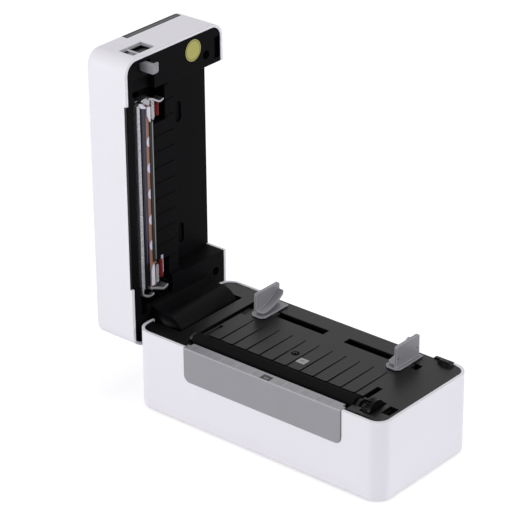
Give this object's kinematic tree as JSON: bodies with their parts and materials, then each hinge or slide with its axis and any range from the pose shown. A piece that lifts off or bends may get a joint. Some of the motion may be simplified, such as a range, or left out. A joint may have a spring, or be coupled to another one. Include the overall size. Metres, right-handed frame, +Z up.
{
  "type": "desktop label printer",
  "caption": "Desktop label printer, lid hinged at its short end and open: ribbed paper deck, sliding guides, rubber platen roller, sprung thermal print head and latch in the lid.",
  "frame": {"origin": "centre of the base's underside, on the bottom cover's plane", "axes": "+Z up from the underside, the way the open lid stands; +X along the base from the hinge end to the latch end; +Y from the tear plate to the paper inlet; -X is the hinge end"},
  "size_m": [0.247, 0.0998, 0.2522],
  "materials": {
    "white_housing": "moulded white ABS, very fine spark texture, satin",
    "black_cover": "moulded black ABS, fine texture",
    "black_deck": "moulded black ABS, fine texture, slight sheen",
    "black_liner": "moulded black ABS, fine texture",
    "tear_grey": "moulded grey polycarbonate, satin with a soft sheen",
    "guide_grey": "moulded grey acetal, satin",
    "latch_grey": "moulded grey acetal, satin",
    "foot_rubber": "moulded rubber, matt",
    "roller_rubber": "ground silicone rubber, matt",
    "shaft_steel": "turned and ground steel",
    "screw_steel": "zinc plated steel",
    "spring_steel": "drawn spring steel, bright",
    "bushing_black": "moulded black acetal",
    "pinion_brass": "hobbed brass",
    "gear_dark": "moulded black acetal",
    "gear_pale": "moulded natural acetal",
    "rack_dark": "moulded black acetal",
    "frame_black": "steel sheet, black powder coat",
    "frame_steel": "black lacquered steel sheet",
    "motor_case": "black lacquered steel laminations",
    "board_green": "glass-epoxy board with green solder mask",
    "parts_black": "moulded black epoxy and nylon",
    "socket_plated": "nickel plated steel shell",
    "rocker_red": "moulded red nylon, polished",
    "window_pale": "moulded pale polycarbonate",
    "sticker_yellow": "plain coated vinyl disc",
    "panel_dark": "moulded dark grey polycarbonate",
    "light_lens": "moulded clear polycarbonate",
    "button_grey": "moulded grey polycarbonate",
    "head_plated": "nickel plated steel",
    "head_aluminium": "extruded and milled aluminium",
    "head_glaze": "glazed alumina with a thin film",
    "head_copper": "polyimide circuit with copper tracks",
    "head_epoxy": "black moulded cover",
    "connector_white": "moulded white nylon",
    "contact_tin": "tinned contacts",
    "lead_red": "red PVC insulation"
  },
  "bodies": {
    "base": {"base_shell": "white_housing", "bottom_cover": "black_cover", "rubber_feet": "foot_rubber", "cover_screws": "screw_steel", "hinge_surround": "black_deck", "deck": "black_deck", "tear_plate": "tear_grey", "sensor_window": "window_pale", "sensor_board": "board_green", "latch_catch": "bushing_black", "hinge_pins": "shaft_steel", "frame_left": "frame_black", "frame_right": "frame_steel", "frame_screws": "screw_steel", "platen_bushings": "bushing_black", "idler_stud": "shaft_steel", "motor_body": "motor_case", "motor_screws": "screw_steel", "rack_tray": "rack_dark", "main_board": "board_green", "board_parts": "parts_black", "power_inlet": "parts_black", "data_socket": "socket_plated", "switch_housing": "parts_black"},
    "lid": {"lid_shell": "white_housing", "lid_liner": "black_liner", "hinge_barrel": "black_liner", "lid_screws": "screw_steel", "lid_sticker": "sticker_yellow", "top_panel": "panel_dark", "status_light": "light_lens", "button_spring": "spring_steel", "latch_spring": "spring_steel", "head_springs": "spring_steel"},
    "latch": {"latch_lever": "latch_grey"},
    "printhead": {"head_bracket": "head_plated", "head_sink": "head_aluminium", "head_ceramic": "head_glaze", "head_board": "head_copper", "head_cover": "head_epoxy", "head_connectors": "connector_white", "head_contacts": "contact_tin", "head_leads": "lead_red"},
    "feed": {"feed_button": "button_grey"},
    "platen": {"platen_shaft": "shaft_steel", "platen_rubber": "roller_rubber", "platen_gear": "gear_dark"},
    "idler": {"idler_gear": "gear_pale"},
    "motor_rotor": {"motor_pinion": "pinion_brass"},
    "guide_left": {"guide_left": "guide_grey", "rack_left": "rack_dark"},
    "guide_right": {"guide_right": "guide_grey", "rack_right": "rack_dark"},
    "guide_pinion": {"guide_pinion": "rack_dark"},
    "power_rocker": {"switch_rocker": "rocker_red"}
  },
  "joints": [
    {"name": "lid_hinge", "type": "hinge", "parent": "base", "child": "lid", "pos_m": [-0.0965, 0, 0.0495], "axis": [0, 1, 0], "range_deg": [0, 90], "deforming": ["latch_catch"]},
    {"name": "latch_slide", "type": "slide", "parent": "lid", "child": "latch", "axis": [0, -1, 0], "range_m": [0, 0.0016], "stiffness_N_per_m": 300, "springref_m": -0.001, "deforming": ["latch_spring"]},
    {"name": "printhead_press", "type": "slide", "parent": "lid", "child": "printhead", "axis": [-1, 0, 0], "range_m": [0, 0.0015], "stiffness_N_per_m": 4000, "springref_m": -0.001, "deforming": ["head_springs"]},
    {"name": "feed_press", "type": "slide", "parent": "lid", "child": "feed", "axis": [1, 0, 0], "range_m": [0, 0.001], "stiffness_N_per_m": 600, "springref_m": -0.001, "deforming": ["button_spring"]},
    {"name": "platen_turn", "type": "hinge", "parent": "base", "child": "platen", "pos_m": [0, -0.0314, 0.0558], "axis": [1, 0, 0], "continuous": true},
    {"name": "idler_turn", "type": "hinge", "parent": "base", "child": "idler", "pos_m": [0.084, -0.02046, 0.03433], "axis": [1, 0, 0], "continuous": true},
    {"name": "motor_turn", "type": "hinge", "parent": "base", "child": "motor_rotor", "pos_m": [0.084, 0.00077, 0.02982], "axis": [1, 0, 0], "continuous": true},
    {"name": "guide_left_slide", "type": "slide", "parent": "base", "child": "guide_left", "axis": [1, 0, 0], "range_m": [0, 0.04]},
    {"name": "guide_right_slide", "type": "slide", "parent": "base", "child": "guide_right", "axis": [-1, 0, 0], "range_m": [0, 0.04]},
    {"name": "guide_pinion_turn", "type": "hinge", "parent": "base", "child": "guide_pinion", "pos_m": [0.0078, 0.0285, 0.053], "axis": [0, 0, 1], "range_deg": [0, 287]},
    {"name": "power_switch", "type": "hinge", "parent": "base", "child": "power_rocker", "pos_m": [0.0645, 0.044, 0.02], "axis": [0, 0, 1], "range_deg": [0, 14]}
  ],
  "couplings": [
    {"joint": "idler_turn", "follows": "platen_turn", "ratio": -0.42857},
    {"joint": "motor_turn", "follows": "platen_turn", "ratio": 1.5},
    {"joint": "guide_right_slide", "follows": "guide_left_slide", "ratio": 1},
    {"joint": "guide_pinion_turn", "follows": "guide_left_slide", "rad_per_m": 125}
  ]
}
